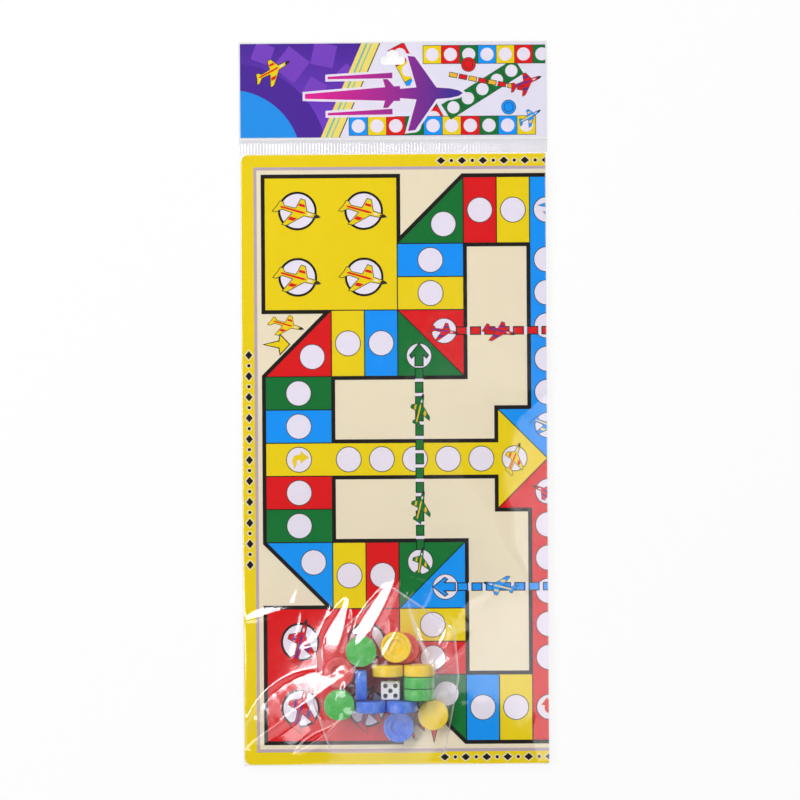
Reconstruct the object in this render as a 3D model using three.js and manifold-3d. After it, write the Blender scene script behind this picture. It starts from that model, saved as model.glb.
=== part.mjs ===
// Folding race-game board, packed with its counters and die in a clear bag with a header card.
// Millimetres. The set lies flat: +X to the fold, +Y to the header, +Z up from the surface that it lies on.
import * as THREE from "three";
import { RoundedBoxGeometry } from "three/addons/geometries/RoundedBoxGeometry.js";
import { mergeVertices } from "three/addons/utils/BufferGeometryUtils.js";
import Module from "manifold-3d";

const wasm = await Module();
wasm.setup();

// Driving dimensions of the board
const BOARD_SIDE = 320; // unfolded, square
const CORNER_RADIUS = 4; // at the free corners
const CORE_THICKNESS = 1.4;
const PRINT_THICKNESS = 0.2;
const LEAF_GAP = 0.5; // between the folded leaves, for the two thicknesses of tape
const TAPE_THICKNESS = 0.15;
const TAPE_WIDTH = 12; // on each leaf
const TAPE_END_INSET = 1.5;
const FOLD_CLEARANCE = 0.15; // from the fold axis to the edge of each leaf

// Driving dimensions of the bag and its header
const FILM_THICKNESS = 0.2;
const FILM_GAP = 0.2; // from film to what it lies on
const SIDE_GAP = 0.3; // from the board's edges to the film around them
const SEAM_GAP = 0.3; // where the two films meet, and along the crimp seal
const CRIMP_HEIGHT = 7.2;
const CRIMP_PITCH = 2;
const CRIMP_DEPTH = 0.3;
const CRIMP_LIP = 1.2; // flat edge above the ribs, over which the header folds
const HEADER_WIDTH = 162;
const HEADER_HEIGHT = 51;
const HEADER_CORNER = 1;
const CARD_THICKNESS = 0.4;
const CARD_INSET = 0.8; // from the edge of the header's film to the card
const HANG_DROP = 10; // from the top of the header to the line of the hang slot
const HANG_WIDTH = 13;
const HANG_SLOT = 4.4;
const HANG_DOME_RADIUS = 3.4;

// Driving dimensions of the counters and the die
const COUNTER_DIAMETER = 16;
const COUNTER_HEIGHT = 5.9;
const RIM_WIDTH = 1.5;
const RIM_STEP = 0.7;
const WELL_DIAMETER = 8.4;
const WELL_DEPTH = 2.4;
const COUNTER_BEVEL = 0.5;
const COUNTER_SIDES = 20;
const DIE_SIDE = 10;
const DIE_ROUND = 1.1;
const PIP_RADIUS = 0.95;
const PIP_DEPTH = 0.4;
const PIP_SPREAD = 2.5;

// Driving dimensions of the heap and its pouch
const DIE_FROM_FOLD = 83.3;
const DIE_FROM_FOOT = 39.4; // above the board's lower edge
const PIECE_GAP = 0.35;
const STACK_OFFSET = 2; // from the die to the stack that lies on its side
const STACK_DROP = 2.1;
const ROW_SHIFT = 0.9; // of the row on edge below the die, towards the fold
const FOOT_SHIFT = 1.7; // of the counter below that row, away from the fold
const PAIR_GAP = 1.4; // from the counter on edge to the pair above it
const COVER_SHIFT = 1; // of the counter that lies on another, towards the header
const POUCH_MARGIN = 6; // from the heap to the pouch's seams
const POUCH_HEAD = 24; // empty film above the heap
const POUCH_CORNER = 4;
const POUCH_PLAY = 5; // each way, before the bag holds the pouch
const POUCH_SLOPE = 2.2; // fall of the film beyond a piece, per millimetre
const POUCH_MESH = 5;
const POUCH_SPREAD = 4; // flat film round the top of each piece
const TENT_MESH = 8;
const TENT_GAP = 1.4; // from the pouch's film to the bag's
const TENT_SLOPES = { left: 0.6, right: 0.4, down: 1.9, up: 0.42 };

// Heights of the layers
const floorZ = FILM_THICKNESS + FILM_GAP;
const leafThickness = CORE_THICKNESS + PRINT_THICKNESS;
const foldZ = floorZ + leafThickness + LEAF_GAP / 2;
const frontLeafZ = foldZ + LEAF_GAP / 2;
const bagZ = frontLeafZ + leafThickness + FILM_GAP; // under the bag's front film, where it lies flat
const pouchZ = bagZ + FILM_THICKNESS + FILM_GAP; // clear of the rear film when the board lies open
const heapZ = pouchZ + FILM_THICKNESS + FILM_GAP;

// Places in the plan
const leafWidth = BOARD_SIDE / 2;
const foldX = leafWidth / 2;
const freeX = foldX - leafWidth;
const spineX = foldX - FOLD_CLEARANCE;
const wall = FILM_THICKNESS;
const totalLength = BOARD_SIDE + 2 * (SIDE_GAP + wall) + CRIMP_HEIGHT + 2 * SEAM_GAP + HEADER_HEIGHT;
const footY = -totalLength / 2;
const boardFootY = footY + wall + SIDE_GAP;
const boardHeadY = boardFootY + BOARD_SIDE;
const bagHeadY = boardHeadY + SIDE_GAP + wall;
const bagFreeX = freeX - SIDE_GAP - wall;
const crimpY = bagHeadY + SEAM_GAP;
const headerY = crimpY + CRIMP_HEIGHT + SEAM_GAP;
const headY = headerY + HEADER_HEIGHT;

const red = 0xe41c20;
const yellow = 0xf1d705;
const green = 0x007c39;
const blue = 0x0392fc;

const root = new THREE.Group();

function plain(color, roughness) {
  return new THREE.MeshStandardMaterial({ color, roughness, metalness: 0 });
}

function clearFilm() {
  return new THREE.MeshStandardMaterial({ color: 0xf4f4fa, roughness: 0.1, transparent: true, opacity: 0.25 });
}

function add(name, geometry, material, x = 0, y = 0, z = 0) {
  const mesh = new THREE.Mesh(geometry, material);
  mesh.name = name;
  mesh.position.set(x, y, z);
  root.add(mesh);
  return mesh;
}

// Solids for joining and cutting
function solid(geometry) {
  const bare = geometry.clone();
  bare.deleteAttribute("normal");
  bare.deleteAttribute("uv");
  const merged = mergeVertices(bare, 1e-4);
  const mesh = new wasm.Mesh({
    numProp: 3,
    vertProperties: new Float32Array(merged.attributes.position.array),
    triVerts: new Uint32Array(merged.index.array),
  });
  return new wasm.Manifold(mesh);
}

function geometryOf(body) {
  const mesh = body.getMesh();
  const geometry = new THREE.BufferGeometry();
  geometry.setAttribute("position", new THREE.BufferAttribute(new Float32Array(mesh.vertProperties), 3));
  geometry.setIndex(new THREE.BufferAttribute(new Uint32Array(mesh.triVerts), 1));
  geometry.computeVertexNormals();
  return geometry;
}

function join(geometries) {
  return geometryOf(geometries.map(solid).reduce((sum, next) => sum.add(next)));
}

// A box given by two opposite corners
function slab(from, to) {
  const size = to.map((end, axis) => end - from[axis]);
  const middle = to.map((end, axis) => (end + from[axis]) / 2);
  return new THREE.BoxGeometry(...size).translate(...middle);
}

// A flat sheet of an outline
function sheet(outline, thickness) {
  return new THREE.ExtrudeGeometry(outline, { depth: thickness, bevelEnabled: false, curveSegments: 6 });
}

// A rectangle with a radius at each corner, the two on the left first
function roundedRectangle(x0, y0, x1, y1, leftRadius, rightRadius) {
  const outline = new THREE.Shape();
  outline.moveTo(x0 + leftRadius, y0);
  outline.lineTo(x1 - rightRadius, y0);
  if (rightRadius > 0) outline.absarc(x1 - rightRadius, y0 + rightRadius, rightRadius, -Math.PI / 2, 0);
  outline.lineTo(x1, y1 - rightRadius);
  if (rightRadius > 0) outline.absarc(x1 - rightRadius, y1 - rightRadius, rightRadius, 0, Math.PI / 2);
  outline.lineTo(x0 + leftRadius, y1);
  outline.absarc(x0 + leftRadius, y1 - leftRadius, leftRadius, Math.PI / 2, Math.PI);
  outline.lineTo(x0, y0 + leftRadius);
  outline.absarc(x0 + leftRadius, y0 + leftRadius, leftRadius, Math.PI, 1.5 * Math.PI);
  return outline;
}

// Board: two laminated leaves with a taped fold
function addLeaf(side, coreZ, printZ, tapeZ) {
  const outline = roundedRectangle(freeX, boardFootY, spineX, boardHeadY, CORNER_RADIUS, 0);
  add(side + "_core", sheet(outline, CORE_THICKNESS), plain(0xb9b2a6, 0.9), 0, 0, coreZ);
  add(side + "_print", sheet(outline, PRINT_THICKNESS), plain(yellow, 0.5), 0, 0, printZ);
  const tape = slab(
    [spineX - TAPE_WIDTH, boardFootY + TAPE_END_INSET, 0],
    [spineX, boardHeadY - TAPE_END_INSET, TAPE_THICKNESS],
  );
  add(side + "_hinge_tape", tape, plain(0xe9e6df, 0.8), 0, 0, tapeZ);
}

addLeaf("front", frontLeafZ, frontLeafZ + CORE_THICKNESS, frontLeafZ - TAPE_THICKNESS);
addLeaf("rear", floorZ + PRINT_THICKNESS, floorZ, floorZ + leafThickness);

// Counter: a turned blank with a raised rim round a stepped well
function counterGeometry() {
  const radius = COUNTER_DIAMETER / 2;
  const well = WELL_DIAMETER / 2;
  const rim = radius - RIM_WIDTH;
  const stepZ = COUNTER_HEIGHT - RIM_STEP;
  const profile = [
    [0, 0],
    [radius - COUNTER_BEVEL, 0],
    [radius, COUNTER_BEVEL],
    [radius, COUNTER_HEIGHT - COUNTER_BEVEL],
    [radius - COUNTER_BEVEL, COUNTER_HEIGHT],
    [rim, COUNTER_HEIGHT],
    [rim, stepZ],
    [well, stepZ],
    [well, COUNTER_HEIGHT - WELL_DEPTH],
    [0, COUNTER_HEIGHT - WELL_DEPTH],
  ];
  const points = profile.map(([r, z]) => new THREE.Vector2(r, z));
  return new THREE.LatheGeometry(points, COUNTER_SIDES).rotateX(Math.PI / 2);
}

// Where each piece of the heap lies: flat with its well up or down, or on edge with its axis along X or Y
const radius = COUNTER_DIAMETER / 2;
const pitch = COUNTER_DIAMETER + PIECE_GAP;
const halfHeight = COUNTER_HEIGHT / 2;
const dieX = foldX - DIE_FROM_FOLD;
const dieY = boardFootY + DIE_FROM_FOOT;
const upperZ = heapZ + COUNTER_HEIGHT + PIECE_GAP;

const stackX = dieX + DIE_SIDE / 2 + STACK_OFFSET + radius;
const stackY = [0, 1, 2].map((step) => dieY - STACK_DROP + step * (COUNTER_HEIGHT + PIECE_GAP));
const rowY = Math.min(dieY - DIE_SIDE / 2, stackY[0] - halfHeight) - PIECE_GAP - halfHeight;
const rowX = stackX - DIE_SIDE + ROW_SHIFT;
const standX = rowX - pitch - radius + halfHeight + PIECE_GAP;
const standY = rowY + halfHeight + PIECE_GAP + radius;
const pairY = standY + pitch + PAIR_GAP;
const wellX = standX - pitch * Math.SQRT1_2;
const wellY = pairY - pitch * Math.SQRT1_2;
const lowPairY = wellY - pitch;
const belowY = rowY - halfHeight - pitch / 2;
const edgeY = stackY[0] - halfHeight - pitch / 2;
const coverX = stackX - radius;
const coverY = stackY[2] + halfHeight + PIECE_GAP + radius;
const overX = coverX - radius / 2;
const overY = coverY + COVER_SHIFT;

const counters = [
  { name: "counter_red_1", colour: red, x: wellX, y: wellY, lie: "up" },
  { name: "counter_red_2", colour: red, x: standX, y: pairY, lie: "down" },
  { name: "counter_red_3", colour: red, x: coverX, y: coverY, lie: "down" },
  { name: "counter_red_4", colour: red, x: wellX, y: lowPairY, lie: "down" },
  { name: "counter_yellow_1", colour: yellow, x: overX, y: overY, z: upperZ, lie: "up" },
  { name: "counter_yellow_2", colour: yellow, x: stackX - pitch, y: stackY[2], lie: "edge_y" },
  { name: "counter_yellow_3", colour: yellow, x: stackX, y: stackY[2], lie: "edge_y" },
  { name: "counter_yellow_4", colour: yellow, x: rowX + pitch, y: edgeY, lie: "down" },
  { name: "counter_green_1", colour: green, x: standX, y: pairY, z: upperZ, lie: "down" },
  { name: "counter_green_2", colour: green, x: wellX, y: lowPairY, z: upperZ, lie: "down" },
  { name: "counter_green_3", colour: green, x: stackX, y: stackY[1], lie: "edge_y" },
  { name: "counter_green_4", colour: green, x: stackX, y: stackY[0], lie: "edge_y" },
  { name: "counter_blue_1", colour: blue, x: standX, y: standY, lie: "edge_x" },
  { name: "counter_blue_2", colour: blue, x: rowX - FOOT_SHIFT, y: belowY, lie: "up" },
  { name: "counter_blue_3", colour: blue, x: rowX - pitch, y: rowY, lie: "edge_y" },
  { name: "counter_blue_4", colour: blue, x: rowX, y: rowY, lie: "edge_y" },
];

// Half sizes of a piece in the plan, and its height, for the way that it lies
const lies = {
  up: { halfX: radius, halfY: radius, height: COUNTER_HEIGHT, turn: [0, 0, 0] },
  down: { halfX: radius, halfY: radius, height: COUNTER_HEIGHT, turn: [Math.PI, 0, 0] },
  edge_x: { halfX: halfHeight, halfY: radius, height: COUNTER_DIAMETER, turn: [0, -Math.PI / 2, 0] },
  edge_y: { halfX: radius, halfY: halfHeight, height: COUNTER_DIAMETER, turn: [Math.PI / 2, 0, 0] },
};

for (const { name, colour, x, y, z = heapZ, lie } of counters) {
  const { height, turn } = lies[lie];
  const geometry = counterGeometry().translate(0, 0, -halfHeight);
  const mesh = add(name, geometry, plain(colour, 0.35), x, y, z + height / 2);
  mesh.rotation.set(...turn);
}

// Die: a rounded cube with drilled pips, opposite faces adding up to seven
const pipsOf = {
  1: [[0, 0]],
  2: [[-1, -1], [1, 1]],
  3: [[-1, -1], [0, 0], [1, 1]],
  4: [[-1, -1], [-1, 1], [1, -1], [1, 1]],
  5: [[-1, -1], [-1, 1], [0, 0], [1, -1], [1, 1]],
  6: [[-1, -1], [-1, 0], [-1, 1], [1, -1], [1, 0], [1, 1]],
};

function dieGeometry() {
  const ball = (PIP_RADIUS ** 2 + PIP_DEPTH ** 2) / (2 * PIP_DEPTH);
  const reach = DIE_SIDE / 2 + ball - PIP_DEPTH;
  const quarter = Math.PI / 2;
  const turns = {
    5: [0, 0, 0],
    2: [Math.PI, 0, 0],
    1: [quarter, 0, 0],
    6: [-quarter, 0, 0],
    3: [0, quarter, 0],
    4: [0, -quarter, 0],
  };
  const drills = [];
  for (const [value, turn] of Object.entries(turns)) {
    for (const [u, v] of pipsOf[value]) {
      const drill = new THREE.SphereGeometry(ball, 7, 6);
      drill.translate(u * PIP_SPREAD, v * PIP_SPREAD, reach);
      const facing = new THREE.Matrix4().makeRotationFromEuler(new THREE.Euler(...turn));
      drills.push(solid(drill.applyMatrix4(facing)));
    }
  }
  const cube = solid(new RoundedBoxGeometry(DIE_SIDE, DIE_SIDE, DIE_SIDE, 2, DIE_ROUND));
  return geometryOf(drills.reduce((left, drill) => left.subtract(drill), cube));
}

add("die", dieGeometry(), plain(0xf2efe9, 0.35), dieX, dieY, heapZ + DIE_SIDE / 2);

// What the films lie over: the plan of each piece and its top
const heap = counters.map(({ x, y, z = heapZ, lie }) => {
  const { halfX, halfY, height } = lies[lie];
  return { x, y, halfX, halfY, top: z + height };
});
heap.push({ x: dieX, y: dieY, halfX: DIE_SIDE / 2, halfY: DIE_SIDE / 2, top: heapZ + DIE_SIDE });
const heapLeft = Math.min(...heap.map((piece) => piece.x - piece.halfX));
const heapRight = Math.max(...heap.map((piece) => piece.x + piece.halfX));
const heapFoot = Math.min(...heap.map((piece) => piece.y - piece.halfY));
const heapHead = Math.max(...heap.map((piece) => piece.y + piece.halfY));

// Height of a film stretched over pieces, which falls away beyond each of them
function drape(pieces, x, y, base, rise, spread, slopes) {
  const heights = pieces.map((piece) => {
    const dx = x - piece.x;
    const dy = y - piece.y;
    const beyondX = Math.max(0, Math.abs(dx) - piece.halfX - spread.x) * (dx < 0 ? slopes.left : slopes.right);
    const beyondY = Math.max(0, Math.abs(dy) - piece.halfY - spread.y) * (dy < 0 ? slopes.down : slopes.up);
    return piece.top + rise - Math.hypot(beyondX, beyondY);
  });
  return Math.max(base, ...heights);
}

function steps(from, to, size) {
  const count = Math.max(1, Math.round((to - from) / size));
  return Array.from({ length: count + 1 }, (_, i) => from + ((to - from) * i) / count);
}

// A film of one thickness over a grid, closed round its edge
function filmOver(xs, ys, heightAt, thickness) {
  const columns = xs.length;
  const rows = ys.length;
  const positions = [];
  for (const lift of [0, thickness]) {
    for (const y of ys) {
      for (const x of xs) positions.push(x, y, heightAt(x, y) + lift);
    }
  }
  const index = [];
  const quad = (a, b, c, d) => index.push(a, b, c, a, c, d);
  const under = (i, j) => j * columns + i;
  const over = (i, j) => under(i, j) + columns * rows;
  for (let j = 0; j < rows - 1; j++) {
    for (let i = 0; i < columns - 1; i++) {
      quad(over(i, j), over(i + 1, j), over(i + 1, j + 1), over(i, j + 1));
      quad(under(i, j), under(i, j + 1), under(i + 1, j + 1), under(i + 1, j));
    }
  }
  for (let i = 0; i < columns - 1; i++) {
    quad(under(i, 0), under(i + 1, 0), over(i + 1, 0), over(i, 0));
    quad(over(i, rows - 1), over(i + 1, rows - 1), under(i + 1, rows - 1), under(i, rows - 1));
  }
  for (let j = 0; j < rows - 1; j++) {
    quad(over(0, j), over(0, j + 1), under(0, j + 1), under(0, j));
    quad(under(columns - 1, j), under(columns - 1, j + 1), over(columns - 1, j + 1), over(columns - 1, j));
  }
  const geometry = new THREE.BufferGeometry();
  geometry.setAttribute("position", new THREE.Float32BufferAttribute(positions, 3));
  geometry.setIndex(index);
  geometry.computeVertexNormals();
  return geometry;
}

// Pouch: a flat rear film and a front film drawn over the heap
const pouch = {
  left: heapLeft - POUCH_MARGIN,
  right: heapRight + POUCH_MARGIN,
  foot: heapFoot - POUCH_MARGIN,
  head: heapHead + POUCH_HEAD,
};

function addPouch() {
  const outline = roundedRectangle(pouch.left, pouch.foot, pouch.right, pouch.head, POUCH_CORNER, POUCH_CORNER);
  add("pouch_rear_film", sheet(outline, FILM_THICKNESS), clearFilm(), 0, 0, pouchZ);
  const slopes = { left: POUCH_SLOPE, right: POUCH_SLOPE, down: POUCH_SLOPE, up: POUCH_SLOPE };
  const spread = { x: POUCH_SPREAD, y: POUCH_SPREAD };
  const heightAt = (x, y) => {
    const edge = x === pouch.left || x === pouch.right || y === pouch.foot || y === pouch.head;
    return edge ? heapZ : drape(heap, x, y, heapZ, FILM_GAP, spread, slopes);
  };
  const xs = steps(pouch.left, pouch.right, POUCH_MESH);
  const ys = steps(pouch.foot, pouch.head, POUCH_MESH);
  const film = filmOver(xs, ys, heightAt, FILM_THICKNESS);
  const trim = sheet(outline, 2 * COUNTER_DIAMETER).translate(0, 0, pouchZ);
  add("pouch_front_film", geometryOf(solid(film).intersect(solid(trim))), clearFilm());
}

addPouch();

// Bag: two shallow trays of film that meet at the level of the fold, open along the fold
function trayWalls(fromZ, toZ, insideFromZ) {
  const outside = slab([bagFreeX, footY, fromZ], [spineX, bagHeadY, toZ]);
  const inside = slab(
    [bagFreeX + wall, footY + wall, insideFromZ],
    [spineX + wall, bagHeadY - wall, toZ + wall],
  );
  return geometryOf(solid(outside).subtract(solid(inside)));
}

function addBag() {
  const pouchSheet = {
    x: (pouch.left + pouch.right) / 2,
    y: (pouch.foot + pouch.head) / 2,
    halfX: (pouch.right - pouch.left) / 2,
    halfY: (pouch.head - pouch.foot) / 2,
    top: heapZ,
  };
  const pieces = [...heap, pouchSheet];
  const spread = { x: POUCH_PLAY + TENT_MESH / 2, y: TENT_MESH };
  const rise = FILM_GAP + FILM_THICKNESS + TENT_GAP;
  const tentHead = pouch.head + (heapZ + COUNTER_DIAMETER - bagZ) / TENT_SLOPES.up;
  const heightAt = (x, y) => {
    const edge = x === bagFreeX || x === spineX || y === footY || y === bagHeadY;
    return edge ? bagZ : drape(pieces, x, y, bagZ, rise, spread, TENT_SLOPES);
  };
  const xs = steps(bagFreeX, spineX, TENT_MESH);
  const ys = [...steps(footY, Math.min(tentHead, boardHeadY - TENT_MESH), TENT_MESH), bagHeadY];
  const film = filmOver(xs, ys, heightAt, FILM_THICKNESS);
  const seam = SEAM_GAP / 2;
  const walls = trayWalls(foldZ + seam, bagZ + FILM_THICKNESS / 2, foldZ);
  add("bag_front_film", join([film, walls]), clearFilm());
  add("bag_rear_film", trayWalls(0, foldZ - seam, FILM_THICKNESS), clearFilm());
}

addBag();

// Crimp seal: a band pressed into ribs between the jaws of the sealer, with a flat edge above
function crimpGeometry() {
  const ribs = Math.round(HEADER_WIDTH / CRIMP_PITCH);
  const half = HEADER_WIDTH / 2;
  const crest = (i) => (i % 2 === 0 ? -CRIMP_DEPTH / 2 : CRIMP_DEPTH / 2);
  const across = (i) => (i * HEADER_WIDTH) / (2 * ribs) - half;
  const points = Array.from({ length: 2 * ribs + 1 }, (_, i) => [across(i), crest(i)]);
  const lower = points.map(([x, z]) => new THREE.Vector2(x, z - FILM_THICKNESS));
  const upper = points.map(([x, z]) => new THREE.Vector2(x, z + FILM_THICKNESS)).reverse();
  const outline = new THREE.Shape([...lower, ...upper]);
  const ribbed = CRIMP_HEIGHT - CRIMP_LIP;
  const band = sheet(outline, ribbed).rotateX(Math.PI / 2).translate(0, ribbed, 0);
  const lip = slab([-half, ribbed - CRIMP_LIP, -FILM_THICKNESS / 2], [half, CRIMP_HEIGHT, FILM_THICKNESS / 2]);
  return join([band, lip]);
}

add("crimp_seal", crimpGeometry(), clearFilm(), 0, crimpY, foldZ);

// Header: a card between two films, with a hang slot through all three
function hangSlot() {
  const y = headY - HANG_DROP;
  const end = HANG_SLOT / 2;
  const reach = HANG_WIDTH / 2 - end;
  const dome = Math.min(HANG_DOME_RADIUS, reach);
  const slot = new THREE.Path();
  slot.moveTo(-reach, y - end);
  slot.lineTo(reach, y - end);
  slot.absarc(reach, y, end, -Math.PI / 2, Math.PI / 2);
  slot.lineTo(dome, y + end);
  slot.absarc(0, y + end, dome, 0, Math.PI);
  slot.lineTo(-reach, y + end);
  slot.absarc(-reach, y, end, Math.PI / 2, 1.5 * Math.PI);
  return slot;
}

function addHeader() {
  const half = HEADER_WIDTH / 2;
  const filmOutline = roundedRectangle(-half, headerY, half, headY, HEADER_CORNER, HEADER_CORNER);
  const cardHalf = half - CARD_INSET;
  const cardFoot = headerY + CARD_INSET;
  const cardHead = headY - CARD_INSET;
  const cardOutline = roundedRectangle(-cardHalf, cardFoot, cardHalf, cardHead, HEADER_CORNER, HEADER_CORNER);
  filmOutline.holes.push(hangSlot());
  cardOutline.holes.push(hangSlot());
  const cardZ = foldZ - CARD_THICKNESS / 2;
  add("header_card", sheet(cardOutline, CARD_THICKNESS), plain(0x2f8fd8, 0.6), 0, 0, cardZ);
  const frontZ = cardZ + CARD_THICKNESS + FILM_GAP;
  const rearZ = cardZ - FILM_GAP - FILM_THICKNESS;
  add("header_front_film", sheet(filmOutline, FILM_THICKNESS), clearFilm(), 0, 0, frontZ);
  add("header_rear_film", sheet(filmOutline, FILM_THICKNESS), clearFilm(), 0, 0, rearZ);
}

addHeader();

export default root;
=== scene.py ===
# Folding race-game board in a clear header bag, with its counters and die in a small pouch
import math

import bmesh
import bpy
import numpy as np
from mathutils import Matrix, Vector
from mathutils.geometry import delaunay_2d_cdt


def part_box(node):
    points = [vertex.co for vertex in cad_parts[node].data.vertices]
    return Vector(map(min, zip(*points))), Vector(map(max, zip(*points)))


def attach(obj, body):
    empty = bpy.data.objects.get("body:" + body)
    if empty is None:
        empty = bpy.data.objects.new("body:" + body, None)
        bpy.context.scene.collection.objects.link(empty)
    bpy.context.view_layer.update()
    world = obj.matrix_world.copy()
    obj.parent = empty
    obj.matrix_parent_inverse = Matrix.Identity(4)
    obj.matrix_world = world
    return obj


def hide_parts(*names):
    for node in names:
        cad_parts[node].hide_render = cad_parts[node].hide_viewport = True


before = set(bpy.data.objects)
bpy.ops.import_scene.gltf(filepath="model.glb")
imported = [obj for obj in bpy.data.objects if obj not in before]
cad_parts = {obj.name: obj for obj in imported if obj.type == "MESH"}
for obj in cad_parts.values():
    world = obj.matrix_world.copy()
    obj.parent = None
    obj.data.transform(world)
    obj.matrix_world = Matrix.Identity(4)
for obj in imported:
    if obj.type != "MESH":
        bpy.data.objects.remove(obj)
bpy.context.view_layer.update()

MM = 0.001

# Sizes of the printed field, in millimetres from the unfolded board's upper left corner
BOARD = 320.0
HALF = BOARD / 2
CORNER = 4.0
CELL = 17.4
FIELD_CELLS = 17
MARGIN = (BOARD - FIELD_CELLS * CELL) / 2
BORDER = 6.5
PALE_LINE = 1.6
THICK_LINE = 1.8
THIN_LINE = 0.28
SPOT_RADIUS = 6.8
SPOT_RING = 0.42
STAND_RADIUS = 10.2
STAND_RING = 1.2
DASH_WIDTH = 4.5
DASH_LENGTH = 5.85
DASH_PITCH = 7.5
DASH_RIM = 0.55
SIGN_RIM = 0.55
BORDER_MARKS = 21
BORDER_PITCH = 5.5
LOZENGE_HALF = (1.9, 2.3)
DOT_RADIUS = 0.9
MARK_RIM = 0.5

# Inks, as sRGB values from 0 to 255
INKS = {
    "yellow": (241, 214, 0),
    "red": (226, 10, 16),
    "green": (0, 118, 48),
    "blue": (0, 153, 250),
    "cream": (241, 229, 201),
    "white": (239, 232, 246),
    "black": (18, 11, 6),
    "line": (46, 44, 42),
    "lilac": (190, 172, 187),
    "sky": (28, 150, 236),
    "plum": (78, 34, 158),
    "purple": (118, 62, 200),
    "violet_haze": (124, 66, 196),
    "pale": (234, 231, 246),
    "sand": (244, 224, 116),
    "gold": (240, 190, 40),
    "teal": (110, 190, 188),
    "magenta": (226, 30, 150),
    "violet": (70, 46, 152),
    "paper": (238, 234, 226),
}
RING = ["yellow", "red", "green", "blue"]
ACCENT = {"yellow": "red", "red": "violet", "green": "gold", "blue": "sand"}


def linear(rgb):
    """The shader's own linear values for a colour written from 0 to 255."""
    parts = [value / 255 for value in rgb]
    return tuple(p / 12.92 if p <= 0.04045 else ((p + 0.055) / 1.055) ** 2.4 for p in parts)


def opaque(rgb):
    return (*linear(rgb), 1.0)


# Node trees written as expressions
class Value:
    """A node's output, which takes part in arithmetic."""

    def __init__(self, graph, socket):
        self.graph = graph
        self.socket = socket

    def other(self, key):
        """Another output of the same node."""
        return Value(self.graph, self.socket.node.outputs[key])

    def worked(self, operation, first, second):
        return self.graph.node("ShaderNodeMath", {"operation": operation}, {0: first, 1: second})

    def __add__(self, other):
        return self.worked("ADD", self, other)

    def __radd__(self, other):
        return self.worked("ADD", other, self)

    def __sub__(self, other):
        return self.worked("SUBTRACT", self, other)

    def __rsub__(self, other):
        return self.worked("SUBTRACT", other, self)

    def __mul__(self, other):
        return self.worked("MULTIPLY", self, other)

    def __rmul__(self, other):
        return self.worked("MULTIPLY", other, self)

    def __truediv__(self, other):
        return self.worked("DIVIDE", self, other)


class Graph:
    """A node tree to which nodes are added by type, settings and sockets."""

    def __init__(self, tree):
        self.tree = tree

    def node(self, kind, settings=None, sockets=None, out=0):
        made = self.tree.nodes.new(kind)
        for key, value in (settings or {}).items():
            if key == "stops":
                self.set_stops(made.color_ramp, value)
            else:
                setattr(made, key, value)
        for key, value in (sockets or {}).items():
            if isinstance(value, Value):
                self.tree.links.new(value.socket, made.inputs[key])
            else:
                made.inputs[key].default_value = value
        return Value(self, made.outputs[out]) if made.outputs else None

    def set_stops(self, ramp, stops):
        while len(ramp.elements) < len(stops):
            ramp.elements.new(1.0)
        for element, (place, rgb) in zip(ramp.elements, stops):
            element.position = place
            element.color = opaque(rgb)


class Finish(Graph):
    """A material."""

    def __init__(self, name):
        self.material = bpy.data.materials.new(name)
        self.material.use_nodes = True
        super().__init__(self.material.node_tree)
        self.tree.nodes.clear()

    def place(self):
        return self.node("ShaderNodeTexCoord", out="Object")

    def along(self, axis):
        return self.node("ShaderNodeSeparateXYZ", None, {0: self.place()}, out=axis)

    def noise(self, scale, detail=2.0, roughness=0.5, stretch=(1.0, 1.0, 1.0)):
        mapped = self.node("ShaderNodeMapping", None, {"Vector": self.place(), "Scale": stretch})
        sockets = {"Vector": mapped, "Scale": scale, "Detail": detail, "Roughness": roughness}
        return self.node("ShaderNodeTexNoise", None, sockets)

    def ramp(self, value, low, high, to_low=0.0, to_high=1.0):
        sockets = {
            "Value": value,
            "From Min": low,
            "From Max": high,
            "To Min": to_low,
            "To Max": to_high,
        }
        return self.node("ShaderNodeMapRange", None, sockets)

    def mix(self, mode, factor, first, second):
        settings = {"data_type": "RGBA", "blend_type": mode}
        return self.node("ShaderNodeMix", settings, {0: factor, 6: first, 7: second}, out=2)

    def grey(self, value):
        return self.node("ShaderNodeCombineColor", None, {0: value, 1: value, 2: value})

    def bump(self, height, depth, strength=1.0):
        sockets = {"Height": height, "Distance": depth, "Strength": strength}
        return self.node("ShaderNodeBump", None, sockets)

    def skin(self, sockets):
        return self.node("ShaderNodeBsdfPrincipled", None, sockets)

    def done(self, shader):
        self.node("ShaderNodeOutputMaterial", None, {"Surface": shader})
        return self.material


class Pattern(Graph):
    """A Geometry Nodes tree with named sizes, applied to a piece and then made plain."""

    def __init__(self, name):
        super().__init__(bpy.data.node_groups.new(name, "GeometryNodeTree"))
        self.tree.interface.new_socket("Geometry", in_out="OUTPUT", socket_type="NodeSocketGeometry")
        self.entry = self.tree.nodes.new("NodeGroupInput")
        self.given = {}

    def take(self, name, kind, value=None):
        socket = self.tree.interface.new_socket(name, in_out="INPUT", socket_type="NodeSocket" + kind)
        if value is not None:
            self.given[socket.identifier] = value
        return Value(self, self.entry.outputs[name])

    def done(self, geometry, material):
        whole = self.node("GeometryNodeRealizeInstances", None, {0: geometry})
        faced = self.node("GeometryNodeSetMaterial", None, {"Geometry": whole, "Material": material})
        self.node("NodeGroupOutput", None, {0: faced})

    def apply(self, piece):
        modifier = piece.modifiers.new("pattern", "NODES")
        modifier.node_group = self.tree
        for identifier, value in self.given.items():
            modifier[identifier] = value
        make_plain(piece)


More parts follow.
